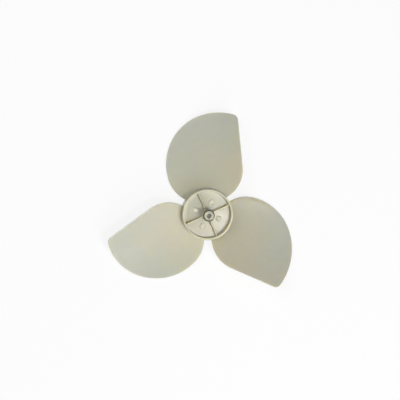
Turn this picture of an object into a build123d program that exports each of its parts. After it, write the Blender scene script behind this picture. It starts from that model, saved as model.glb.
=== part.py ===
from build123d import *
from math import asin, atan2, cos, degrees, radians, sin, sqrt, tan
import os

# Three-blade fan for a small refrigerator motor, in millimetres and degrees.
# The fan's axis is Z. Z = 0 is the plane of the hub's open rim, which looks up.

# Blades: outline
blade_count = 3
tip_diameter = 146
tip_direction = 75
lobe_radius = 37.2
edge_offset = 28.1
edge_turn = 20.8
tip_corner_radius = 4.2
lead_root_radius = 22.9
lead_root_direction = 101
trail_root_radius = 23
trail_root_start = 31
root_arc_short = 15

# Blades: camber, twist and section
root_pitch = 19.5
tip_pitch = 33
lead_pitch = 2.3
trail_edge_rise = 0.6
blade_thickness = 1.4
blade_edge_share = 0.25
margin_share = 0.07

# Hub: a ring with a web across it, open to the front and to the back
hub_diameter = 36
hub_height = 11.6
hub_wall = 1.4
cup_depth = 4.7
web_thickness = 1.8
web_dome = 0.55
hub_draft = 1
rim_bevel = 0.2
back_bevel = 0.9
web_bevel = 0.25

# Centre boss and the collet on top of it
boss_diameter = 8.2
boss_rise = 4.45
collet_diameter = 6.4
collet_rise = 2.4
shaft_diameter = 3.175
shaft_lead_in = 0.3
slit_width = 0.3
slit_depth = 5
slit_direction = 90

# Ribs between the boss and the ring, and the round pads between the ribs
rib_count = 4
rib_direction = 23.5
rib_thickness = 1.0
rib_edge_share = 0.25
rib_drop = 0.35
pad_diameter = 4.2
pad_height = 0.5
pad_bevel = 0.25
pad_circle_diameter = 17.8

# Spring ring round the collet, of square wire with bevelled corners
wire_width = 1.3
wire_bevel = 0.35
groove_depth = 0.35
ring_clearance = 0.02
ring_shoulder_gap = 0.2
ring_opening = 0.4
ring_opening_direction = 325

# Worked-out sizes
tip_radius = tip_diameter / 2
hub_radius = hub_diameter / 2
cup_radius = hub_radius - hub_wall
web_front = -cup_depth
web_back = web_front - web_thickness
web_middle = web_front - web_thickness / 2
web_rise = web_dome * (cup_radius - pad_circle_diameter / 2) / (cup_radius - boss_diameter / 2)
front_draft = cup_depth * tan(radians(hub_draft))
boss_radius = boss_diameter / 2
collet_radius = collet_diameter / 2
collet_top = boss_rise + collet_rise
shaft_radius = shaft_diameter / 2
ring_radius = collet_radius - groove_depth + wire_width / 2
ring_height = boss_rise + ring_shoulder_gap + wire_width / 2
blade_edge_bevel = blade_edge_share * blade_thickness
rib_edge_bevel = rib_edge_share * rib_thickness
slit_length = boss_diameter + wire_width
edge_direction = tip_direction + edge_turn
pad_direction = rib_direction + 180 / rib_count


def polar(radius, angle):
    """A point at a radius and an angle from the X axis."""
    return (radius * cos(radians(angle)), radius * sin(radians(angle)))


def upright(angle):
    """The plane through the fan's axis that looks out along an angle."""
    return Plane((0, 0, 0), x_dir=(*polar(1, angle), 0), z_dir=(*polar(1, angle - 90), 0))


# One blade, with its straight trailing edge along X
# The lobe is the large circle of the tip and leading edge. It touches the tip circle.
lobe_x, lobe_y = polar(tip_radius - lobe_radius, -edge_turn)
corner_x = lobe_x + sqrt(lobe_radius**2 - (edge_offset + lobe_y) ** 2)
corner_angle = degrees(atan2(-edge_offset - lobe_y, corner_x - lobe_x))
lead_shift_x, lead_shift_y = polar(lobe_radius - lead_root_radius, lead_root_direction)
lead_root_centre = (lobe_x + lead_shift_x, lobe_y + lead_shift_y)
trail_root_centre = (trail_root_start, trail_root_radius - edge_offset)
lead_root_turn = 180 - root_arc_short - lead_root_direction
trail_root_turn = 90 - root_arc_short
blade_width = edge_offset + lobe_y + lobe_radius
# The bent sheet runs past the outline by this share of its width before it is trimmed.
sheet_margin = margin_share * blade_width

with BuildPart() as blade:
    for station, pitch in ((0, root_pitch), (tip_radius, tip_pitch)):
        bend = blade_width / (sin(radians(pitch)) - sin(radians(lead_pitch)))
        bend_centre = (
            bend * sin(radians(pitch)) - edge_offset,
            bend * cos(radians(pitch)) + trail_edge_rise,
        )
        margin = degrees(sheet_margin / bend)
        start = 270 - pitch - margin
        bend_angle = pitch - lead_pitch + 2 * margin
        with BuildSketch(Plane.YZ.offset(station)):
            with BuildLine():
                upper = CenterArc(bend_centre, bend, start, bend_angle)
                lower = CenterArc(bend_centre, bend + blade_thickness, start, bend_angle)
                Line(upper @ 0, lower @ 0)
                Line(upper @ 1, lower @ 1)
            make_face()
    loft(ruled=True)
    with BuildSketch():
        with BuildLine():
            Line((trail_root_start, -edge_offset), (corner_x, -edge_offset))
            CenterArc((lobe_x, lobe_y), lobe_radius, corner_angle, lead_root_direction - corner_angle)
            lead_root = CenterArc(
                lead_root_centre, lead_root_radius, lead_root_direction, lead_root_turn
            )
            trail_root = CenterArc(trail_root_centre, trail_root_radius, 270, -trail_root_turn)
            # These lines lie inside the hub.
            lead_end = lead_root @ 1
            trail_end = trail_root @ 1
            Polyline(lead_end, (0, lead_end.Y), (0, trail_end.Y), trail_end)
        make_face()
        fillet(vertices().sort_by_distance((corner_x, -edge_offset))[0], tip_corner_radius)
    extrude(amount=lobe_radius, both=True, mode=Mode.INTERSECT)
    # The three lines inside the hub, on both skins, stay sharp.
    skins = faces().sort_by(SortBy.AREA)[-2:]
    chamfer(skins.edges().sort_by(Axis.X)[6:], blade_edge_bevel)
    Cylinder(hub_radius - hub_wall / 2, 2 * lobe_radius, mode=Mode.SUBTRACT)

# One rib, along X, from inside the boss to inside the ring's wall
with BuildPart() as rib:
    with BuildSketch(Plane.XZ):
        with BuildLine():
            Polyline(
                (collet_radius, web_middle),
                (cup_radius + hub_wall / 2, web_middle),
                (cup_radius + hub_wall / 2, -rib_drop),
                (collet_radius, -rib_drop),
                close=True,
            )
        make_face()
    extrude(amount=rib_thickness / 2, both=True)
    chamfer(edges().filter_by(Axis.X).group_by(Axis.Z)[-1], rib_edge_bevel)

# The moulding: hub, boss, ribs, pads and blades in one piece of plastic
with BuildPart() as fan_moulding:
    with BuildSketch(Plane.XZ):
        with BuildLine():
            Polyline(
                (shaft_radius, -hub_height),
                (boss_radius, -hub_height),
                (boss_radius, web_back),
                (cup_radius, web_back),
                (cup_radius, -hub_height),
                (hub_radius, -hub_height),
                (hub_radius, 0),
                (cup_radius, 0),
                (cup_radius - front_draft, web_front),
                (boss_radius + front_draft, web_front + web_dome),
                (boss_radius, boss_rise),
                (collet_radius, boss_rise),
                (collet_radius, collet_top),
                (shaft_radius, collet_top),
                close=True,
            )
        make_face()
        for corner, bevel in (
            ((hub_radius, -hub_height), back_bevel),
            ((hub_radius, 0), rim_bevel),
            ((cup_radius, 0), rim_bevel),
            ((cup_radius - front_draft, web_front), web_bevel),
            ((boss_radius + front_draft, web_front + web_dome), web_bevel),
            ((shaft_radius, collet_top), shaft_lead_in),
            ((shaft_radius, -hub_height), shaft_lead_in),
        ):
            chamfer(vertices().sort_by_distance(corner)[0], bevel)
        with Locations((ring_radius, ring_height)):
            Rectangle(wire_width + 2 * ring_clearance, wire_width + 2 * ring_clearance, mode=Mode.SUBTRACT)
    revolve(axis=Axis.Z)
    with PolarLocations(0, rib_count, rib_direction):
        add(rib.part)
    with BuildSketch(Plane.XY.offset(web_middle)):
        with PolarLocations(pad_circle_diameter / 2, rib_count, pad_direction):
            Circle(pad_diameter / 2)
    extrude(amount=web_thickness / 2 + web_rise + pad_height)
    chamfer(edges(Select.LAST).group_by(Axis.Z)[-1], pad_bevel)
    with PolarLocations(0, blade_count, edge_direction):
        add(blade.part)
    with BuildSketch(Plane.XY.offset(collet_top)):
        Rectangle(slit_length, slit_width, rotation=slit_direction)
    extrude(amount=-slit_depth, mode=Mode.SUBTRACT)

# The spring ring: square wire, open on one side, in the collet's groove
with BuildPart() as spring_ring:
    opening_angle = 2 * degrees(asin(ring_opening / 2 / ring_radius))
    with BuildSketch(upright(ring_opening_direction + opening_angle / 2)):
        with Locations((ring_radius, ring_height)):
            Rectangle(wire_width, wire_width)
        chamfer(vertices().sort_by(Axis.X)[2:], wire_bevel)
    revolve(axis=Axis.Z, revolution_arc=360 - opening_angle)

os.makedirs("parts", exist_ok=True)
for piece, name in ((fan_moulding, "fan_moulding"), (spring_ring, "spring_ring")):
    piece.part.label = name
    export_step(piece.part, f"parts/{name}.step")
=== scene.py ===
# %% [markdown]
# # A refrigerator fan, dressed in Blender
#
# The fan is one ivory moulding with three broad blades, and a dark spring ring that grips its collet.
# The solids come from the CAD frame at their real size, in metres. This lesson gives them smooth skins,
# finishes, soft light and the camera of the photograph, and it moves nothing.

# %% Load the frame
from math import cos, radians, sin

import bpy
from mathutils import Matrix, Vector


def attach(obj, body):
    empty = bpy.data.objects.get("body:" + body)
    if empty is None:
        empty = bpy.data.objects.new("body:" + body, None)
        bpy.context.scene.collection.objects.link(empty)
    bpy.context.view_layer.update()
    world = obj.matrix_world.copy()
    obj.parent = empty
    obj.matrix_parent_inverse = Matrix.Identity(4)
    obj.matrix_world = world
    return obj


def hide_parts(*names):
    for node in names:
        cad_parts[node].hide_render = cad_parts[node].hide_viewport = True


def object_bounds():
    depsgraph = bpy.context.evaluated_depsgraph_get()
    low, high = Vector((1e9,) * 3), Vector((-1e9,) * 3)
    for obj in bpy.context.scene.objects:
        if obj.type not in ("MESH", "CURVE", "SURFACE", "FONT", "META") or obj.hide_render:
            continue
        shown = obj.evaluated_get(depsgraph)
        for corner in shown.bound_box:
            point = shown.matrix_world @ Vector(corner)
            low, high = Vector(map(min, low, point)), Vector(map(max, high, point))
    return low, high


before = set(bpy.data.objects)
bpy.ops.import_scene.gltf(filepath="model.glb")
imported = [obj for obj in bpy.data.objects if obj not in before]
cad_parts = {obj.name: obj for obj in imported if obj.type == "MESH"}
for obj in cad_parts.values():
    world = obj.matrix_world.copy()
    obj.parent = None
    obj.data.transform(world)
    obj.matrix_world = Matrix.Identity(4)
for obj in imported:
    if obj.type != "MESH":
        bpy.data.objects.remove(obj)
cad_low, cad_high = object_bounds()
MM = 0.001
print("nodes:", sorted(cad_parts))
print("CAD box in millimetres:", [round(side / MM, 1) for side in cad_high - cad_low])

# %% [markdown]
# ## The moulding, welded
#
# The real fan is injection moulded: hub, ribs, boss and blades are one shot of plastic. Its CAD mesh is
# loose triangles. It could be modelled again from primitives, but the CAD shape is already right, so a copy
# of it is welded into one closed skin. Operators act on all that is selected, so one piece is picked alone
# first.

# %% Weld a copy of a node
weld_gap = 0.002 * MM


def pick(piece):
    """Selects one object alone and makes it the active one."""
    bpy.ops.object.select_all(action="DESELECT")
    piece.select_set(True)
    bpy.context.view_layer.objects.active = piece


def open_edges(mesh):
    """How many edges don't have exactly two faces."""
    uses = [0] * len(mesh.edges)
    for loop in mesh.loops:
        uses[loop.edge_index] += 1
    return sum(1 for count in uses if count != 2)


def welded_copy(node, name):
    """A copy of a CAD node, welded in edit mode."""
    piece = bpy.data.objects.new(name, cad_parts[node].data.copy())
    bpy.context.scene.collection.objects.link(piece)
    pick(piece)
    bpy.ops.object.mode_set(mode="EDIT")
    bpy.ops.mesh.select_mode(type="VERT")
    bpy.ops.mesh.select_all(action="SELECT")
    bpy.ops.mesh.customdata_custom_splitnormals_clear()
    bpy.ops.mesh.remove_doubles(threshold=weld_gap)
    bpy.ops.object.mode_set(mode="OBJECT")
    print(name, len(piece.data.polygons), "triangles,", open_edges(piece.data), "open edges")
    return piece


fan = welded_copy("fan_moulding", "fan_skin")

# %% [markdown]
# ## Edges that look rounded
#
# No edge of a moulding is sharp, and the CAD shape has small flat bevels there. A Bevel modifier could round
# them further, but it would change the shape. Shading does it alone: the skin is smooth over the bevels, and
# weighted normals keep the broad faces true and put the whole turn of the light into the bevels.

# %% Smooth the shading over the bevels
smooth_up_to = 62
# For weighted normals, 50 is neutral, and at 100 the largest faces count the most.
large_face_weight = 100


def smooth(piece):
    """Shades a piece smooth, except where two faces meet at a steep angle."""
    pick(piece)
    bpy.ops.object.shade_smooth_by_angle(angle=radians(smooth_up_to))
    weighted = piece.modifiers.new("weighted normals", "WEIGHTED_NORMAL")
    weighted.keep_sharp = True
    weighted.weight = large_face_weight
    bpy.ops.object.modifier_apply(modifier=weighted.name)
    sharp = sum(1 for edge in piece.data.edges if edge.use_edge_sharp)
    print(piece.name, "keeps", sharp, "of", len(piece.data.edges), "edges sharp")


smooth(fan)
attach(fan, "root")
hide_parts("fan_moulding")

# %% [markdown]
# ## The spring ring
#
# The ring is a turn of dark spring wire, open on one side, that squeezes the collet onto the motor's shaft.
# It could be a square profile spun round the axis. The CAD node already is that, with its bevels and its
# opening, so it takes the same two steps as the moulding.

# %% The ring's skin
ring = welded_copy("spring_ring", "spring_ring_skin")
smooth(ring)
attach(ring, "root")
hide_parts("spring_ring")

# %% [markdown]
# ## Shaders written as sums
#
# A shader is a net of sockets. It could be laid by hand in the node editor, but a sum is easier to read and
# to change. The class below wraps one output socket, so that `0.5 + patina * 0.15` lays its Math nodes by
# itself. Every other node comes from one method, `node`.


# %% A socket that does sums
class Wire:
    """One output socket in a node tree, or the bare tree to start from."""

    def __init__(self, tree, socket=None):
        self.tree = tree
        self.socket = socket

    def node(self, kind, sockets=None, output=0, **settings):
        """Adds a node, makes its settings, fills or links its sockets, and returns one of its outputs."""
        made = self.tree.nodes.new(kind)
        for name, value in settings.items():
            setattr(made, name, value)
        for name, value in (sockets or {}).items():
            if isinstance(value, Wire):
                self.tree.links.new(value.socket, made.inputs[name])
            else:
                made.inputs[name].default_value = value
        return Wire(self.tree, made.outputs[output])

    def sum(self, operation, other):
        """A Math node on this value and another."""
        return self.node("ShaderNodeMath", {0: self, 1: other}, operation=operation)

    def __add__(self, other):
        return self.sum("ADD", other)

    __radd__ = __add__

    def __mul__(self, other):
        return self.sum("MULTIPLY", other)

    __rmul__ = __mul__

    def clamped(self, low, high):
        """This value moved from the range low to high onto 0 to 1, and held there."""
        return self.node("ShaderNodeMapRange", {"Value": self, "From Min": low, "From Max": high})

    def end_in(self, kind):
        """Links this shader to a new output node."""
        output = self.tree.nodes.new(kind)
        self.tree.links.new(self.socket, output.inputs["Surface"])


# %% [markdown]
# ## Colours and patterns
#
# Both finishes are mixed from colours and soft noise. The colours could be typed as Blender's linear values,
# but a picture editor shows 8-bit ones, so a helper turns those into linear light.


# %% Helpers for finishes
def colour(red, green, blue):
    """A colour read as 8-bit sRGB, as a picture editor gives it, in Blender's linear values."""
    parts = []
    for value in (red, green, blue):
        share = value / 255
        parts.append(share / 12.92 if share <= 0.04045 else ((share + 0.055) / 1.055) ** 2.4)
    return (*parts, 1.0)


def new_material(name):
    """An empty material and its tree as a Wire to start from."""
    material = bpy.data.materials.new(name)
    material.use_nodes = True
    material.node_tree.nodes.clear()
    return material, Wire(material.node_tree)


def mixed(share, first, second):
    """Two colours mixed by a share. Inputs 6 and 7 and output 2 are the Mix node's colours."""
    return share.node("ShaderNodeMix", {"Factor": share, 6: first, 7: second}, output=2, data_type="RGBA")


def noise(place, size, detail=2.0, roughness=0.5):
    """Soft noise about as wide as size, in metres."""
    return place.node(
        "ShaderNodeTexNoise",
        {"Vector": place, "Scale": 1 / size, "Detail": detail, "Roughness": roughness},
    )


print("an 8-bit grey of 188 is", round(colour(188, 188, 188)[0], 3), "in linear light")

# %% [markdown]
# ## Ivory plastic
#
# The moulding is a satin styrene, a little translucent, and never quite one colour. Its ivory is warmer at
# the hub and greyer towards the tips, and broad clouds run from a greenish tone to a warmer one. Specks
# change the gloss a little, and a fine grain from the mould spreads the highlights. All this could be
# painted on a texture, but noise on Object coordinates has no seam and keeps its size on the part.


# %% The ivory material
def make_ivory():
    """Satin ivory, from a warm hub to greyer tips."""
    cloud_size = 45 * MM
    cloud_shift = (26 * MM, 0, 0)
    speck_size = 4 * MM
    grain_size = 0.45 * MM
    grain_depth = 0.05 * MM
    hub_reach = 15 * MM
    tip_reach = 62 * MM
    satin_roughness = 0.28
    speck_roughness = 0.03

    material, tree = new_material("ivory_plastic")
    place = tree.node("ShaderNodeTexCoord", output="Object")
    shifted = tree.node("ShaderNodeMapping", {"Vector": place, "Location": cloud_shift})
    # Noise lies mostly between 0.3 and 0.7, and that range is spread over 0 to 1.
    clouds = noise(shifted, cloud_size, detail=1.0).clamped(0.3, 0.7)
    specks = noise(place, speck_size).clamped(0.3, 0.7)
    grain = noise(place, grain_size)
    flat = tree.node("ShaderNodeVectorMath", {0: place, 1: (1.0, 1.0, 0.0)}, operation="MULTIPLY")
    reach = tree.node("ShaderNodeVectorMath", {0: flat}, output="Value", operation="LENGTH")
    outward = reach.clamped(hub_reach, tip_reach)
    hub_ivory = mixed(clouds, colour(190, 189, 166), colour(194, 188, 162))
    tip_ivory = mixed(clouds, colour(183, 187, 174), colour(188, 187, 172))
    bump = tree.node("ShaderNodeBump", {"Height": grain, "Strength": 0.08, "Distance": grain_depth})
    shader = tree.node(
        "ShaderNodeBsdfPrincipled",
        {
            "Base Color": mixed(outward, hub_ivory, tip_ivory),
            "Roughness": satin_roughness + specks * speck_roughness,
            "IOR": 1.5,
            "Subsurface Weight": 1.0,
            "Subsurface Radius": (1.0, 0.8, 0.35),
            "Subsurface Scale": 3 * MM,
            "Normal": bump,
        },
    )
    shader.end_in("ShaderNodeOutputMaterial")
    return material


def wear(piece, material):
    """Gives a piece one material in place of what it had."""
    piece.data.materials.clear()
    piece.data.materials.append(material)
    print(piece.name, "wears", material.name, "with", len(material.node_tree.nodes), "nodes")


wear(fan, make_ivory())

# %% [markdown]
# ## Blackened spring steel
#
# The ring is spring wire with a dark oxide skin and a trace of oil. It could be a plain dark metal, but
# oxide is never even, so one noise makes the colour paler and the gloss duller in the same places.


# %% The steel material
def make_steel():
    """Dim metal under a brown, patchy oxide."""
    patch_size = 1.5 * MM

    material, tree = new_material("spring_steel")
    place = tree.node("ShaderNodeTexCoord", output="Object")
    patina = noise(place, patch_size, detail=4.0, roughness=0.6).clamped(0.35, 0.65)
    oxide = mixed(patina, colour(66, 60, 46), colour(92, 84, 64))
    shader = tree.node(
        "ShaderNodeBsdfPrincipled",
        {"Base Color": oxide, "Metallic": 0.6, "Roughness": 0.5 + patina * 0.15},
    )
    shader.end_in("ShaderNodeOutputMaterial")
    return material


wear(ring, make_steel())

# %% [markdown]
# ## The table
#
# The fan lies on a white table. White paint alone would look grey under soft light. So most of what is seen
# of the table is its own white light, and the rest is plain paint that holds the fan's soft shadow.

# %% A white table
table_side = 6
glow_share = 0.84
white = (1.0, 1.0, 1.0, 1.0)
paint_white = (0.9, 0.9, 0.9, 1.0)


def seen_white(tree):
    """One for rays that show the surroundings: from the camera, in a gloss, or through clear stuff."""
    camera_ray = tree.node("ShaderNodeLightPath", output="Is Camera Ray")
    glossy_ray = tree.node("ShaderNodeLightPath", output="Is Glossy Ray")
    clear_ray = tree.node("ShaderNodeLightPath", output="Is Transmission Ray")
    return (camera_ray + glossy_ray + clear_ray).clamped(0.0, 1.0)


bpy.ops.object.select_all(action="DESELECT")
bpy.ops.mesh.primitive_plane_add(size=table_side, location=(0, 0, cad_low.z))
floor = bpy.context.object
floor.name = "table"
bpy.ops.object.transform_apply(location=True, rotation=True, scale=True)

paint, tree = new_material("table_white")
diffuse = tree.node("ShaderNodeBsdfDiffuse", {"Color": paint_white})
glow = tree.node("ShaderNodeEmission", {"Color": white, "Strength": 1.0})
surface = tree.node("ShaderNodeMixShader", {0: seen_white(tree) * glow_share, 1: diffuse, 2: glow})
surface.end_in("ShaderNodeOutputMaterial")
wear(floor, paint)

# %% [markdown]
# ## The room
#
# Around the table is a pale room that adds a little light from all sides. One white sky could do both jobs,
# but it would flatten the blades. So the sky is white where it is seen, and dim where it lights the fan.

# %% The sky
room_strength = 0.12
backdrop_strength = 1.0

world = bpy.data.worlds.new("studio")
bpy.context.scene.world = world
world.use_nodes = True
world.node_tree.nodes.clear()
sky = Wire(world.node_tree)
room = sky.node("ShaderNodeBackground", {"Color": white, "Strength": room_strength})
backdrop = sky.node("ShaderNodeBackground", {"Color": white, "Strength": backdrop_strength})
both = sky.node("ShaderNodeMixShader", {0: seen_white(sky), 1: room, 2: backdrop})
both.end_in("ShaderNodeOutputWorld")
print("the sky looks", backdrop_strength, "bright and lights the fan with", room_strength)

# %% [markdown]
# ## The lamps
#
# A product is lit by soft boxes. One large lamp would do for the blades, but the hub needs a smaller one for
# the crescent of shade inside its rim. So a small key lamp stands high at the lower right, two wider ones
# carry its light down to the side, and two from the upper left fill the shade.


# %% Soft boxes
def direction(turn, lean):
    """The way from the hub to a lamp or camera: a turn from X, and a lean away from straight above."""
    flat = sin(radians(lean))
    return Vector((flat * cos(radians(turn)), flat * sin(radians(turn)), cos(radians(lean))))


def soft_box(name, turn, lean, distance, side, power):
    """A square lamp that looks at the hub, in degrees, metres and watts."""
    lamp = bpy.data.lights.new(name, "AREA")
    lamp.size = side
    lamp.energy = power
    box = bpy.data.objects.new(name, lamp)
    bpy.context.scene.collection.objects.link(box)
    towards = direction(turn, lean)
    box.location = towards * distance
    box.rotation_euler = towards.to_track_quat("Z", "Y").to_euler()
    print("lamp", name, "gives", power, "W from", distance, "m")


soft_box("key", turn=-33, lean=15, distance=1.2, side=0.2, power=4.4)
soft_box("middle", turn=-50, lean=36, distance=1.1, side=0.5, power=2)
soft_box("side", turn=-72, lean=64, distance=1.0, side=0.8, power=4.3)
soft_box("fill", turn=144, lean=40, distance=1.2, side=0.7, power=4.6)
soft_box("front", turn=144, lean=12, distance=1.9, side=0.5, power=1.8)

# %% [markdown]
# ## The camera
#
# The photograph looks at the open side of the hub, from a little to the upper left. The camera could be set
# by eye, but its lean, turn and distance were found by laying the fan's outline over the photograph's, so
# they are kept as the numbers of that fit.

# %% The photograph's camera
picture_side = 400
hub_pixel = (207.83, 214.87)
pixels_per_metre = 1419.0
focal_pixels = 2200.0
camera_lean = 9.36
camera_turn = 143.8
sensor_width = 36
nearest_seen = 0.05

camera_data = bpy.data.cameras.new("photo_camera")
camera_data.sensor_width = sensor_width
camera_data.lens = sensor_width * focal_pixels / picture_side
camera_data.clip_start = nearest_seen
camera = bpy.data.objects.new("photo_camera", camera_data)
bpy.context.scene.collection.objects.link(camera)
bpy.context.scene.camera = camera

back = direction(camera_turn, camera_lean)
right = Vector((0, 1, 0)).cross(back).normalized()
up = back.cross(right)
shift_right = (hub_pixel[0] - picture_side / 2) / pixels_per_metre
shift_up = (picture_side / 2 - hub_pixel[1]) / pixels_per_metre
place = back * (focal_pixels / pixels_per_metre) - right * shift_right - up * shift_up
camera.matrix_world = Matrix.Translation(place) @ Matrix((right, up, back)).transposed().to_4x4()
print("camera stands", round(place.length, 3), "m away, lens", round(camera_data.lens, 1), "mm")

# %% [markdown]
# ## Colours as set
#
# A film-like view transform would dull the whites, so Standard shows each colour as it was set. The skins
# follow the CAD shape, so the box of the dressed fan is the CAD box.

# %% Colour management
bpy.context.scene.view_settings.view_transform = "Standard"
